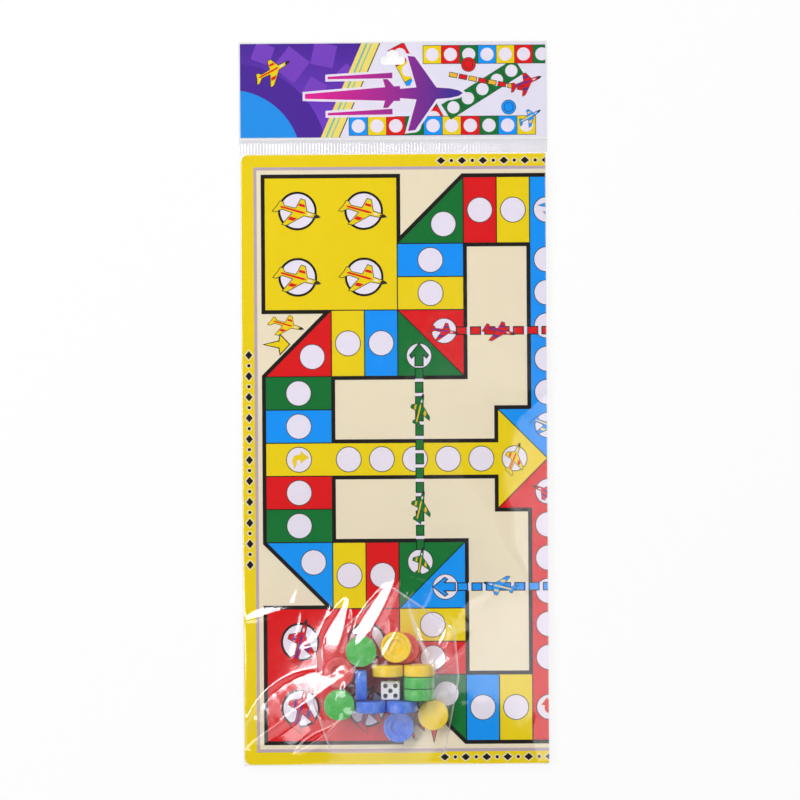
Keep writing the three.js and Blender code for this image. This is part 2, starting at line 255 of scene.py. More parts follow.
def make_plain(piece):
    """Turns a piece with modifiers into a plain mesh."""
    bpy.context.view_layer.update()
    evaluated = piece.evaluated_get(bpy.context.evaluated_depsgraph_get())
    mesh = bpy.data.meshes.new_from_object(evaluated)
    piece.modifiers.clear()
    piece.data = mesh
    mesh.name = piece.name


def piece_of(name, points, faces, *materials):
    """A mesh piece from points in metres."""
    data = bpy.data.meshes.new(name)
    data.from_pydata([tuple(p) for p in points], [], [tuple(f) for f in faces])
    for material in materials:
        data.materials.append(material)
    made = bpy.data.objects.new(name, data)
    bpy.context.collection.objects.link(made)
    return made


def smooth(piece, degrees):
    piece.data.polygons.foreach_set("use_smooth", [True] * len(piece.data.polygons))
    piece.data.set_sharp_from_angle(angle=math.radians(degrees))


def dress(piece, body, slot, *nodes):
    """Hangs a finished piece on its body in place of the plain solids."""
    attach(piece, body)
    if nodes:
        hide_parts(*nodes)


def box_mm(node):
    """A solid's lowest and highest corners, in millimetres."""
    low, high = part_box(node)
    return np.array(low) / MM, np.array(high) / MM


# Finishes
FOLD_WEAR = 0.6 * MM
NO_FOLD = 1.0
FILM_IOR = 1.4
GLANCE_GAIN = 1.2
# How far the rim seal and the painted highlight lines along the seams raise the film's mirror share
WELD_AND_SHEEN_GAIN = 0.7


def printed_paper(name, fold_x):
    """Varnished print: its ink is in the mesh, its paper shows as mottle, tooth and a worn fold."""
    paper = Finish(name)
    colour = paper.node("ShaderNodeVertexColor", {"layer_name": "ink"}, out="Color")
    mottle = paper.noise(150.0, 3.0)
    fibre = paper.noise(2600.0, 2.0)
    colour = paper.mix("MULTIPLY", 1.0, colour, paper.grey(0.97 + 0.05 * mottle))
    ragged = paper.along(0) + FOLD_WEAR * (paper.noise(700.0, 3.0) - 0.5)
    worn = paper.ramp(ragged, fold_x - FOLD_WEAR, fold_x + FOLD_WEAR / 3)
    colour = paper.mix("MIX", 0.7 * worn, colour, opaque(INKS["paper"]))
    surface = paper.skin({
        "Base Color": colour,
        "Roughness": 0.34 + 0.16 * mottle + 0.2 * worn,
        "Specular IOR Level": 0.14,
        "Normal": paper.bump(fibre, 0.00002, 0.5),
    })
    return paper.done(surface)


def greyboard():
    """Pressed pulp board, layered on its cut edges."""
    board = Finish("greyboard")
    fibre = board.noise(420.0, 4.0, 0.6, (1.0, 1.0, 7.0))
    speck = board.noise(1900.0, 1.0)
    stops = [(0.25, (150, 140, 124)), (0.55, (181, 171, 154)), (0.8, (206, 199, 186))]
    colour = board.node("ShaderNodeValToRGB", {"stops": stops}, {0: 0.7 * fibre + 0.3 * speck})
    surface = board.skin({
        "Base Color": colour,
        "Roughness": 0.82 + 0.14 * speck,
        "Normal": board.bump(fibre, 0.00008, 0.8),
    })
    return board.done(surface)


def book_tape():
    """White binding tape with a fine weave."""
    tape = Finish("book_tape")
    settings = {"wave_type": "BANDS", "bands_direction": "Y"}
    sockets = {"Vector": tape.place(), "Scale": 500.0, "Distortion": 0.6}
    weave = tape.node("ShaderNodeTexWave", settings, sockets, out="Fac")
    mottle = tape.noise(300.0)
    colour = tape.mix("MULTIPLY", 1.0, opaque((236, 232, 222)), tape.grey(0.93 + 0.07 * mottle))
    surface = tape.skin({
        "Base Color": colour,
        "Roughness": 0.68 + 0.12 * mottle,
        "Normal": tape.bump(weave, 0.00003, 0.6),
    })
    return tape.done(surface)


def clear_film(name, rgb, body, haze, ripple):
    """Clear wrapping film: gloss with a share of haze, rising at a glancing view, and raised along the
    pouch's rim seal (real) and two seam lines (a painted highlight).
    """
    film = Finish(name)
    wave = film.noise(45.0, 2.0, 0.5)
    fine = film.noise(380.0, 2.0, 0.55)
    normal = film.bump(wave + 0.08 * fine, ripple)
    gloss = film.skin({
        "Base Color": opaque(rgb),
        "Metallic": 1.0 - haze,
        "Roughness": 0.08 + 0.08 * fine,
        "Normal": normal,
    })
    clear = film.node("ShaderNodeBsdfTransparent", None, {"Color": (1.0, 1.0, 1.0, 1.0)})
    behind = film.node("ShaderNodeNewGeometry", out="Backfacing")
    bend = film.ramp(behind, 0.0, 1.0, FILM_IOR, 1 / FILM_IOR)
    edge = film.node("ShaderNodeFresnel", None, {"IOR": bend, "Normal": normal})
    weld = film.node("ShaderNodeAttribute", {"attribute_name": "weld"}, out="Fac")
    share = body + GLANCE_GAIN * edge + WELD_AND_SHEEN_GAIN * weld
    return film.done(film.node("ShaderNodeMixShader", None, {0: share, 1: clear, 2: gloss}))


def moulded(name, rgb, deep):
    """Moulded plastic: flow marks, a soft skin and a little depth of colour."""
    plastic = Finish(name)
    flow = plastic.noise(110.0, 3.0, 0.6)
    skin = plastic.noise(1500.0, 2.0)
    cloud = plastic.ramp(plastic.noise(260.0, 3.0, 0.5), 0.42, 0.68, 0.0, 0.3)
    body = plastic.mix("MIX", 0.1 + 0.4 * flow, opaque(rgb), opaque(deep))
    colour = plastic.mix("MIX", cloud, body, opaque([(c + 255) / 2 for c in rgb]))
    surface = plastic.skin({
        "Base Color": colour,
        "Roughness": 0.28 + 0.16 * flow,
        "Subsurface Weight": 0.15,
        "Subsurface Radius": (0.002, 0.002, 0.002),
        "Subsurface Scale": 0.6,
        "Normal": plastic.bump(skin + 2.0 * flow, 0.00003, 0.5),
    })
    return plastic.done(surface)


# Flat figures, with y running down the sheet
def circle(x, y, radius, sides=30):
    turn = 2 * math.pi / sides
    return [(x + radius * math.cos(i * turn), y + radius * math.sin(i * turn)) for i in range(sides)]


def block(x, y, half_width, half_height):
    return [
        (x - half_width, y - half_height),
        (x + half_width, y - half_height),
        (x + half_width, y + half_height),
        (x - half_width, y + half_height),
    ]


def area(points):
    return sum(a[0] * b[1] - b[0] * a[1] for a, b in zip(points, points[1:] + points[:1])) / 2


def grown(points, by):
    """The outline moved outward by a distance, or inward by a negative one, with mitred corners."""
    side = math.copysign(1.0, area(points))
    made = []
    for before, here, after in zip(points[-1:] + points[:-1], points, points[1:] + points[:1]):
        one = Vector((here[0] - before[0], here[1] - before[1])).normalized()
        two = Vector((after[0] - here[0], after[1] - here[1])).normalized()
        out_one = Vector((one.y, -one.x)) * side
        out_two = Vector((two.y, -two.x)) * side
        middle = (out_one + out_two).normalized()
        reach = by / max(0.36, middle.dot(out_one))
        made.append((here[0] + middle.x * reach, here[1] + middle.y * reach))
    return made


def set_at(figure, x, y, degrees, size):
    """A figure drawn about its own centre with its head up, turned to the left and set at a place."""
    c = math.cos(math.radians(degrees))
    s = math.sin(math.radians(degrees))
    return [(x + size * (px * c - py * s), y - size * (px * s + py * c)) for px, py in figure]


def mirrored(half):
    return half + [(-px, py) for px, py in reversed(half) if abs(px) > 1e-9]


def banked(figure):
    """A figure seen from above as it banks: one side is drawn in and both lean back."""
    made = []
    for px, py in figure:
        narrowed, leant = (0.78, -0.1) if px > 0 else (0.58, 0.42)
        made.append((px * narrowed, py + leant * abs(px)))
    return made


PLANE_HALF = [
    (0, 0.5), (0.035, 0.45), (0.06, 0.34), (0.072, 0.17), (0.46, -0.1), (0.47, -0.19),
    (0.075, -0.08), (0.055, -0.33), (0.18, -0.44), (0.18, -0.5), (0, -0.45),
]
PLANE = banked(mirrored(PLANE_HALF))
STRIPE = banked(mirrored([(0, 0.2), (0.034, 0.12), (0.03, -0.36), (0, -0.4)]))
WING_BAR = [(0.2, 0.06), (0.3, -0.008), (0.3, -0.128), (0.2, -0.1)]
WING_BARS = [banked([(side * px, py) for px, py in WING_BAR]) for side in (1, -1)]
NOSE = banked(mirrored([(0, 0.5), (0.035, 0.45), (0.05, 0.39), (0, 0.37)]))
CANOPY = banked(mirrored([(0, 0.33), (0.03, 0.29), (0.03, 0.24), (0, 0.22)]))
DART = mirrored([(0, 0.5), (0.38, 0.14), (0.13, 0.1), (0, -0.5)])
ARROW = mirrored([(0, 0.5), (0.42, -0.02), (0.35, -0.12), (0.17, 0.06), (0.17, -0.5)])
BEND = [
    (-0.3, -0.5), (-0.42, -0.1), (-0.36, 0.14), (-0.2, 0.26), (0.08, 0.26), (0.08, 0.46), (0.5, 0.14),
    (0.08, -0.18), (0.08, 0.02), (-0.1, 0.02), (-0.2, -0.08), (-0.22, -0.28),
]


class Artwork:
    """Inked outlines in the order in which they are printed, later ones on top."""

    def __init__(self):
        self.inks = []
        self.outlines = []
        self.times = 0

    def paint(self, ink, points):
        self.inks.append(ink)
        self.outlines.append(points)

    def arm(self, times):
        """What is drawn next is turned by this many quarters, and takes the colours of that arm."""
        self.times = times
        return self

    def colour(self, ink):
        return RING[(RING.index(ink) + self.times) % 4] if ink in RING else ink

    def draw(self, ink, points):
        self.paint(self.colour(ink), quarter_turns(points, self.times))

    def rimmed(self, ink, points, rim, rim_ink="line"):
        self.draw(rim_ink, grown(points, rim))
        self.draw(ink, points)

    def plane(self, ink, x, y, degrees, size):
        accent = ACCENT.get(self.colour(ink), "red")
        rim = 0.016 * size
        self.rimmed(ink, set_at(PLANE, x, y, degrees, size), rim)
        for figure in [STRIPE] + WING_BARS:
            self.paint(accent, quarter_turns(set_at(figure, x, y, degrees, size), self.times))
        self.draw("line", set_at(NOSE, x, y, degrees, size))
        self.draw("white", set_at(CANOPY, x, y, degrees, size))

    def cut(self, ground):
        """The sheet cut along every outline: its corner points, and its triangles with their inks."""
        points = []
        loops = []
        for outline in [ground] + self.outlines:
            loops.append(list(range(len(points), len(points) + len(outline))))
            points.extend(Vector(p) for p in (outline if area(outline) > 0 else reversed(outline)))
        made = delaunay_2d_cdt(points, [], loops, 1, 1e-5)
        inks = ["paper"] + self.inks
        kept = [(face, inks[max(owner)]) for face, owner in zip(made[2], made[5]) if 0 in owner]
        return made[0], [(face, ink) for face, ink in kept if ink is not None]


def quarter_turns(points, times):
    for _ in range(times):
        points = [(y, BOARD - x) for x, y in points]
    return points


def ink_at(ink, x, y):
    return ink(x, y) if callable(ink) else linear(INKS[ink])


def printed_sheet(name, artwork, ground, face_at, back_at, material):
    """A closed sheet whose face is cut along the printed outlines. An outline with no ink is a hole."""
    corners, kept = artwork.cut(ground)
    count = len(corners)
    points = [face_at(p.x, p.y) for p in corners] + [back_at(p.x, p.y) for p in corners]
    faces = [tuple(face) for face, _ in kept]
    sides = {}
    for face in faces:
        for a, b in zip(face, face[1:] + face[:1]):
            sides[(a, b)] = True
    rim = [(a, b) for a, b in sides if (b, a) not in sides]
    backs = [tuple(i + count for i in reversed(face)) for face in faces]
    walls = [(b, a, a + count, b + count) for a, b in rim]
    sheet = piece_of(name, points, faces + backs + walls, material)
    layer = sheet.data.color_attributes.new("ink", "FLOAT_COLOR", "CORNER")
    shades = []
    for face, ink in kept:
        shades += [(*ink_at(ink, corners[i].x, corners[i].y), 1.0) for i in face]
    plain = opaque(INKS["paper"])
    shades += [plain] * (len(sheet.data.loops) - len(shades))
    layer.data.foreach_set("color", np.array(shades, np.float32).ravel())
    loose = bmesh.new()
    loose.from_mesh(sheet.data)
    bmesh.ops.delete(loose, geom=[v for v in loose.verts if not v.link_faces], context="VERTS")
    bmesh.ops.recalc_face_normals(loose, faces=loose.faces)
    loose.to_mesh(sheet.data)
    loose.free()
    return sheet


# The game field, drawn for one arm and turned for the other three
def at(x, y):
    """A point given in cells from the field's upper left corner."""
    return (MARGIN + x * CELL, MARGIN + y * CELL)


def cells(*points):
    return [at(x, y) for x, y in points]


ARM_EDGE = [(0, 0), (0, 4), (2, 4), (0, 6), (0, 11), (2, 13), (0, 13)]
YARD = [(2, 9), (7, 9), (7, 10), (8, 10), (8, 15), (6, 15), (6, 11), (2, 11)]
HOME_ROW = [(0, 8), (7, 8), (7, 7), (8.5, 8.5), (7, 10), (7, 9), (0, 9)]
FLIGHT_X = 4.64
TRACK = [
    ("green", [(4, 4), (6, 6), (4, 6)], (FLIGHT_X, 5.39)),
    ("blue", [(3, 4), (4, 4), (4, 6), (3, 6)], (3.5, 5)),
    ("yellow", [(2, 4), (3, 4), (3, 6), (2, 6)], (2.5, 5)),
    ("red", [(2, 4), (2, 6), (0, 6)], (1.42, 5.4)),
    ("green", [(0, 6), (2, 6), (2, 7), (0, 7)], (1, 6.5)),
    ("blue", [(0, 7), (2, 7), (2, 8), (0, 8)], (1, 7.5)),
    ("red", [(0, 9), (2, 9), (2, 10), (0, 10)], (1, 9.5)),
    ("green", [(0, 10), (2, 10), (2, 11), (0, 11)], (1, 10.5)),
    ("blue", [(0, 11), (2, 11), (2, 13)], (1.42, 11.6)),
    ("yellow", [(2, 11), (3, 11), (3, 13), (2, 13)], (2.5, 12)),
    ("red", [(3, 11), (4, 11), (4, 13), (3, 13)], (3.5, 12)),
    ("green", [(4, 11), (6, 11), (4, 13)], (FLIGHT_X, 11.6)),
]
STANDS = [(x, y) for x in (1, 3) for y in (1, 3)]
# Planes on the field: ink, place in cells, turn in degrees and length
FIELD_PLANES = [("yellow", *stand, -106, 24) for stand in STANDS] + [
    ("yellow", 0.65, 4.42, -106, 18),
    ("yellow", 7.48, 8.5, -22, 17),
    ("green", FLIGHT_X, 11.6, -10, 15),
    ("green", FLIGHT_X, 7.02, -14, 17),
    ("green", FLIGHT_X, 9.93, -14, 17),
]


def draw_ground(field):
    field.paint("yellow", block(HALF, HALF, HALF + CORNER, HALF + CORNER))
    for inset, ink in ((BORDER, "lilac"), (BORDER + PALE_LINE, "cream")):
        field.paint(ink, block(HALF, HALF, HALF - inset, HALF - inset))
    outline = []
    for times in range(4):
        outline += quarter_turns(cells(*ARM_EDGE), times)
    field.paint("black", grown(outline, THICK_LINE))


def draw_areas(field):
    field.draw("yellow", grown(cells((0, 0), (4, 0), (4, 4), (0, 4)), -THIN_LINE))
    field.draw("cream", grown(cells(*YARD), -THICK_LINE))
    for ink, corners, _ in TRACK:
        field.draw(ink, grown(cells(*corners), -THIN_LINE))
    field.draw("yellow", grown(cells(*HOME_ROW), -THIN_LINE))


def draw_spots(field):
    spots = [spot for _, _, spot in TRACK] + [(1, 8.5)] + [(x + 0.5, 8.5) for x in range(2, 8)]
    for spot in spots:
        field.draw("line", circle(*at(*spot), SPOT_RADIUS))
        field.draw("white", circle(*at(*spot), SPOT_RADIUS - SPOT_RING))
    for stand in STANDS:
        field.draw("black", circle(*at(*stand), STAND_RADIUS, 40))
        field.draw("white", circle(*at(*stand), STAND_RADIUS - STAND_RING, 40))


def draw_signs(field):
    field.rimmed("yellow", set_at(BEND, *at(1.02, 8.5), 0, 8.8), 0.22, "gold")
    field.rimmed("yellow", set_at(DART, *at(0.36, 5.02), -90, 12.6), SIGN_RIM, "black")


def draw_flight(field):
    """The dashed flight line between two corner spots, with its arrow."""
    x, start = at(FLIGHT_X, 11.25)
    _, end = at(FLIGHT_X, 5.75)
    field.draw("white", block(x, (start + end) / 2, DASH_WIDTH / 2 - 0.1, (start - end) / 2))
    for step in range(int((start - end) / DASH_PITCH) + 1):
        y = start - DASH_LENGTH / 2 - step * DASH_PITCH
        field.draw("black", block(x, y, DASH_WIDTH / 2, DASH_LENGTH / 2))
        field.draw("green", block(x, y, DASH_WIDTH / 2 - DASH_RIM, DASH_LENGTH / 2 - DASH_RIM))
    field.rimmed("green", set_at(ARROW, *at(FLIGHT_X, 5.36), 0, 11.0), SIGN_RIM, "black")


def draw_planes(field):
    for ink, x, y, degrees, size in FIELD_PLANES:
        field.plane(ink, *at(x, y), degrees, size)


def draw_border(field):
    """A row of lozenges and dots along the middle of each side."""
    x = 0.54 * BORDER
    wide, tall = LOZENGE_HALF
    for i in range(BORDER_MARKS):
        y = HALF + (i - (BORDER_MARKS - 1) / 2) * BORDER_PITCH
        lozenge = [(x, y - tall), (x + wide, y), (x, y + tall), (x - wide, y)]
        mark = lozenge if i % 2 == 0 else circle(x, y, DOT_RADIUS, 12)
        field.rimmed("black", mark, MARK_RIM, "cream")


def game_field():
    field = Artwork()
    draw_ground(field)
    for draw in (draw_areas, draw_spots, draw_signs, draw_flight, draw_planes, draw_border):
        for times in range(4):
            draw(field.arm(times))
    return field


def strip_of(field, low, high):
    """Only the outlines that reach into a strip of the board."""
    part = Artwork()
    for ink, points in zip(field.inks, field.outlines):
        across = [p[0] for p in points]
        if min(across) < high and max(across) > low:
            part.paint(ink, points)
    return part


def leaf_outline(free, fold):
    """A leaf in board coordinates, rounded at its free corners."""
    way = math.copysign(1.0, fold - free)
    points = []
    for middle, start in ((CORNER, 90), (BOARD - CORNER, 180)):
        for i in range(9):
            turn = math.radians(start + 90 * i / 8)
            points.append((free + way * CORNER * (1 + math.cos(turn)), middle - CORNER * math.sin(turn)))
    return points + [(fold, BOARD), (fold, 0.0)]


def make_prints():
    field = game_field()
    low, high = box_mm("front_print")
    rear_low, rear_high = box_mm("rear_print")
    paper = printed_paper("board_print", high[0] * MM)
    width = high[0] - low[0]

    def leaf(x, y, z):
        across = x if x <= HALF else BOARD - x
        return ((low[0] + across) * MM, (high[1] - y) * MM, z * MM)

    front = printed_sheet(
        "front_leaf_print", strip_of(field, 0, HALF), leaf_outline(0.0, width),
        lambda x, y: leaf(x, y, high[2]), lambda x, y: leaf(x, y, low[2]), paper)
    rear = printed_sheet(
        "rear_leaf_print", strip_of(field, HALF, BOARD), leaf_outline(BOARD, BOARD - width),
        lambda x, y: leaf(x, y, rear_low[2]), lambda x, y: leaf(x, y, rear_high[2]), paper)
    dress(front, "front_leaf", "printed_paper", "front_print")
    dress(rear, "rear_leaf", "printed_paper", "rear_print")


# Header card: plain cells, paths and planes in the colours of the game, in millimetres from its corner
BLEED = 5.0
SASH_LEFT = 66.0
SASH_LEAN = 26.0
# Bands of the sash: how far in, how broad, and ink
SASH = [(0, 10, "sand"), (2.4, 1.0, "teal"), (5.2, 0.6, "teal"), (9.4, 0.6, "line")]
# Squares in the dusk: place, half side and tilt
HAZE_SQUARES = [(12, 5, 5, 20), (27, 11, 7, 38), (44, 6, 6, 12), (39, 24, 5, 30), (56, 16, 4, 45)]
GLOBE = (-6, 62)
# Rows of cells: place of the first, turn, side, inks in order and how many
CELL_ROWS = [
    (84, 6, 62, 9.4, ["red", "yellow", "blue", "green"], 5),
    (62, 43.5, 0, 9.8, ["blue", "yellow", "red", "green"], 10),
    (112, 34, -32, 9.0, ["green"], 5),
    (101, 6.2, 0, 9.6, RING, 7),
]
PATH_DASHES = 8
PATH_PITCH = 5.2
PRINTED_COUNTERS = [("blue", 141, 34), ("red", 120, 11.5)]
HEADER_PLANES = [("red", 150, 21, -70, 17), ("yellow", 17, 14, -62, 20), ("blue", 152, 39, -60, 13)]
TRAILS = [
    [(34, 26.5), (84, 22.5), (84, 30.5), (34, 29.0)],
    [(46, 17.5), (80, 15.5), (80, 18.5), (46, 18.8)],
    [(46, 36.5), (80, 34.5), (80, 37.5), (46, 37.8)],
]
FLYER = set_at(mirrored(PLANE_HALF), 96, 26.5, -90, 42)
FLYER_RIM = 1.2
# The hang slot: from the header's head to its line, then its bar and its dome
HANG_DROP = 10.0
HANG_BAR_RADIUS = 2.2
HANG_BAR_REACH = 4.3
HANG_DOME_RADIUS = 3.4


def blended(first, last, share):
    share = min(1.0, max(0.0, share))
    return tuple(a + (b - a) * share for a, b in zip(linear(INKS[first]), linear(INKS[last])))


def dusk(x, y):
    return blended("plum", "purple", y / 40)


def day(x, y):
    return blended("blue", "sky", y / 30)


def bloom(x, y):
    return blended("magenta", "violet", (x - 40) / 70)


def turned(points, x, y, degrees):
    c = math.cos(math.radians(degrees))
    s = math.sin(math.radians(degrees))
    return [(x + px * c - py * s, y + px * s + py * c) for px, py in points]


def cell_row(art, x, y, degrees, size, inks, count):
    """A row of square cells, each with a spot."""
    for i in range(count):
        ink = inks[i % len(inks)]
        cell = turned(block(i * size, 0, size / 2, size / 2), x, y, degrees)
        (middle,) = turned([(i * size, 0)], x, y, degrees)
        art.rimmed(ink, grown(cell, -0.15), 0.3)
        art.draw("white", circle(*middle, 0.36 * size, 24))


def arc_band(x, y, radius, width, first, last, sides=24):
    turns = [math.radians(first + (last - first) * i / sides) for i in range(sides + 1)]
    outer = [(x + (radius + width) * math.cos(t), y - (radius + width) * math.sin(t)) for t in turns]
    inner = [(x + radius * math.cos(t), y - radius * math.sin(t)) for t in reversed(turns)]
    return outer + inner


def header_art(width, height):
    art = Artwork()
    art.draw("pale", block(width / 2, height / 2, width, height))
    foot = height + BLEED
    art.draw(dusk, [(-BLEED, -BLEED), (70, -BLEED), (44, foot), (-BLEED, foot)])
    for x, y, half, tilt in HAZE_SQUARES:
        art.draw("violet_haze", turned(block(0, 0, half, half), x, y, tilt))
    art.draw("plum", arc_band(*GLOBE, 36, 16, -20, 110))
    art.draw(day, arc_band(*GLOBE, -20, 58, -20, 110))
    for inset, broad, ink in SASH:
        left = SASH_LEFT + inset
        right = left + broad
        head_edge = [(left, -BLEED), (right, -BLEED)]
        art.draw(ink, head_edge + [(right - SASH_LEAN, foot), (left - SASH_LEAN, foot)])
    for row in CELL_ROWS:
        cell_row(art, *row)
    for i in range(PATH_DASHES):
        dash = turned(block(i * PATH_PITCH, 0, 1.9, 1.0), 112, 17, 11)
        art.rimmed("red" if i % 2 else "gold", dash, 0.35)
    for ink, x, y in PRINTED_COUNTERS:
        for radius in (3.6, 2.2):
            art.rimmed(ink, circle(x, y, radius, 24), 0.3)
    for ink, x, y, degrees, size in HEADER_PLANES:
        art.plane(ink, x, y, degrees, size)
    for figure in TRAILS + [FLYER]:
        art.draw("white", grown(figure, FLYER_RIM))
    for figure in TRAILS + [FLYER]:
        art.draw(bloom, figure)
    return art


def hang_slot(middle, line):
    """The slot's outline: a rounded bar under a dome."""
    bar, reach = HANG_BAR_RADIUS, HANG_BAR_REACH
    arcs = [(reach, 0.0, bar, -90), (0.0, bar, HANG_DOME_RADIUS, 0), (-reach, 0.0, bar, 90)]
    points = []
    for x, y, radius, first in arcs:
        for i in range(13):
            turn = math.radians(first + 180 * i / 12)
            points.append((middle + x + radius * math.cos(turn), line - y - radius * math.sin(turn)))
    return points


def make_header_card():
    low, high = box_mm("header_card")
    film_head = box_mm("header_front_film")[1][1]
    width, height = high[0] - low[0], high[1] - low[1]
    slot_line = high[1] - (film_head - HANG_DROP)
    art = header_art(width, height)
    art.paint(None, hang_slot(width / 2, slot_line))
    ground = block(width / 2, height / 2, width / 2, height / 2)

    def card(x, y, z):
        return ((low[0] + x) * MM, (high[1] - y) * MM, z * MM)

    print_ink = printed_paper("header_print", NO_FOLD)
    made = printed_sheet(
        "header_print_card", art, ground,
        lambda x, y: card(x, y, high[2]), lambda x, y: card(x, y, low[2]), print_ink)
    dress(made, "header", "header_card", "header_card")


# Where the camera and the two lamps stand that the film mirrors, in metres
CAMERA_PLACE = (0.0027, 0.0016, 1.7)
KEY_PLACE = (-0.66, 0.37, 1.0)
EDGE_PLACE = (0.75, 0.45, 1.0)

# Films: sizes in millimetres, and how many lines their grids have
FILM = 0.1
POUCH_PLAY = 5.0
PLAY_ROOM = 0.5
HEAP_ROOM = 0.3
BAG_OVER_BOARD = 0.35
BAG_OVER_HEAP = 1.0
BAG_OVER_POUCH = 1.2
BAG_SAG = 0.3
CREASED_FROM = 6.0
PLAY_STEPS = 9
POUCH_GRID = (144, 156)
POUCH_SEAM = 4.5
POUCH_SLACK = (5.0, 8.0)
POUCH_CREASE = 0.55
WELD_WIDTH = 1.3
SEAM_WIDTH = 1.7
SEAM_CREASE = (0.9, 0.5)
FINE_STEP = 1.0
COARSE_STEP = 3.6
COARSE_FROM = 8.0
BEND_REACH = 1.2
REAR_GRID = (40, 80)


def film_piece(name, outer, inner, material):
    """A closed film from two grids of points in millimetres, its outer skin and its inner one."""
    rows, columns, _ = outer.shape
    points = np.concatenate([outer.reshape(-1, 3), inner.reshape(-1, 3)]) * MM
    index = np.arange(rows * columns).reshape(rows, columns)
    quads = [index[:-1, :-1], index[:-1, 1:], index[1:, 1:], index[1:, :-1]]
    front = np.stack(quads, axis=-1).reshape(-1, 4)
    loop = np.concatenate([index[0, :-1], index[:-1, -1], index[-1, :0:-1], index[:0:-1, 0]])
    after = np.roll(loop, -1)
    under = rows * columns
    rim = np.stack([after, loop, loop + under, after + under], axis=-1)
    faces = np.concatenate([front, front[:, ::-1] + under, rim])
    made = piece_of(name, points.tolist(), faces.tolist(), material)
    smooth(made, 60)
    made.visible_shadow = False
    return made


def inside_of(outer):
    """The inner skin of a thin film."""
    normals = np.cross(np.gradient(outer, axis=1), np.gradient(outer, axis=0))
    normals /= np.maximum(np.linalg.norm(normals, axis=2, keepdims=True), 1e-9)
    return outer - FILM * normals


def looked_up(field, grid_x, grid_y, x, y):
    """A height field read at any places."""
    i = np.clip(np.searchsorted(grid_x, x) - 1, 0, len(grid_x) - 2)
    j = np.clip(np.searchsorted(grid_y, y) - 1, 0, len(grid_y) - 2)
    u = np.clip((x - grid_x[i]) / (grid_x[i + 1] - grid_x[i]), 0, 1)
    v = np.clip((y - grid_y[j]) / (grid_y[j + 1] - grid_y[j]), 0, 1)
    near = field[j, i] * (1 - u) + field[j, i + 1] * u
    far = field[j + 1, i] * (1 - u) + field[j + 1, i + 1] * u
    return near * (1 - v) + far * v


def stretched(under, edge, passes=160):
    """A film pulled over what is under it: each point is at the mean of its neighbours, or rests."""
    height = None
    for step in (8, 4, 2, 1):
        rest = under[::step, ::step]
        rows, columns = rest.shape
        if height is None:
            height = np.full(rest.shape, edge)
        else:
            xs = np.linspace(0, 1, height.shape[1])
            ys = np.linspace(0, 1, height.shape[0])
            x, y = np.meshgrid(np.linspace(0, 1, columns), np.linspace(0, 1, rows))
            height = looked_up(height, xs, ys, x, y)
        for _ in range(passes):
            mean = (height[:-2, 1:-1] + height[2:, 1:-1] + height[1:-1, :-2] + height[1:-1, 2:]) / 4
            height[1:-1, 1:-1] = np.maximum(mean, rest[1:-1, 1:-1])
            height[[0, -1], :] = edge
            height[:, [0, -1]] = edge
    return height


def by_path(x, y, path):
    """For each place: its nearest point's share of the path, how far right of it, and the way on."""
    spans = [math.dist(a, b) for a, b in zip(path, path[1:])]
    best = np.full(x.shape, 1e9)
    share, side = np.zeros(x.shape), np.zeros(x.shape)
    way_x, way_y = np.zeros(x.shape), np.zeros(x.shape)
    done = 0.0
    for a, b, span in zip(path, path[1:], spans):
        ux, uy = (b[0] - a[0]) / span, (b[1] - a[1]) / span
        t = np.clip((x - a[0]) * ux + (y - a[1]) * uy, 0, span)
        px, py = a[0] + t * ux, a[1] + t * uy
        away = np.hypot(x - px, y - py)
        nearer = away < best
        best = np.where(nearer, away, best)
        share = np.where(nearer, (done + t) / sum(spans), share)
        side = np.where(nearer, np.copysign(away, (x - a[0]) * uy - (y - a[1]) * ux), side)
        way_x, way_y = np.where(nearer, ux, way_x), np.where(nearer, uy, way_y)
        done += span
    return share, side, way_x, way_y


def bent_path(path, pieces=10):
    """A smooth path through a few points."""
    knots = np.linspace(0, 1, len(path))
    curve_x = np.polyfit(knots, [p[0] for p in path], len(path) - 1)
    curve_y = np.polyfit(knots, [p[1] for p in path], len(path) - 1)
    return [(np.polyval(curve_x, t), np.polyval(curve_y, t)) for t in np.linspace(0, 1, pieces + 1)]


def ridge(x, y, path, width, height):
    """A crease along a path: highest in its middle, sharp at its crest and gone at its ends."""
    share, side = by_path(x, y, path)[:2]
    taper = np.sin(np.pi * share) ** 0.7
    return height * taper * np.clip(1 - abs(side) / (width * (0.4 + 0.6 * taper)), 0, 1) ** 1.4


def mirror_slope(x, y, lamp):
    """The slope at which film at a place shows a lamp to the camera."""
    half = 0.0
    for place in (lamp, CAMERA_PLACE):
        ray = np.stack([place[0] / MM - x, place[1] / MM - y, np.full(x.shape, place[2] / MM)])
        half = half + ray / np.linalg.norm(ray, axis=0)
    return -half[0] / half[2], -half[1] / half[2]


def pleated(height, grid_x, grid_y, path, width, belly, lamp):
    """Lays a flat pleat along a path, turned to a lamp and widest at belly."""
    x, y = np.meshgrid(grid_x, grid_y)
    run = np.array(bent_path(path))
    share, side, way_x, way_y = by_path(x, y, run)
    spine = looked_up(height, grid_x, grid_y, run[:, 0], run[:, 1])
    level = np.polyval(np.polyfit(np.linspace(0, 1, len(run)), spine, 2), share)
    slope_x, slope_y = mirror_slope(x, y, lamp)
    lean = slope_x * way_y - slope_y * way_x
    broad = width * np.sin(np.pi * share ** (math.log(0.5) / math.log(belly)))
    fold = 0.8 + width * np.where(side > 0, 0.4, 0.2)
    held = np.clip((broad / 2 + fold - abs(side)) / fold, 0, 1) * np.clip(broad, 0, 1)
    held = held * held * (3 - 2 * held)
    flank = level + lean * (np.clip(side, -broad / 2, broad / 2) + 0.4 * broad)
    return height * (1 - held) + held * flank


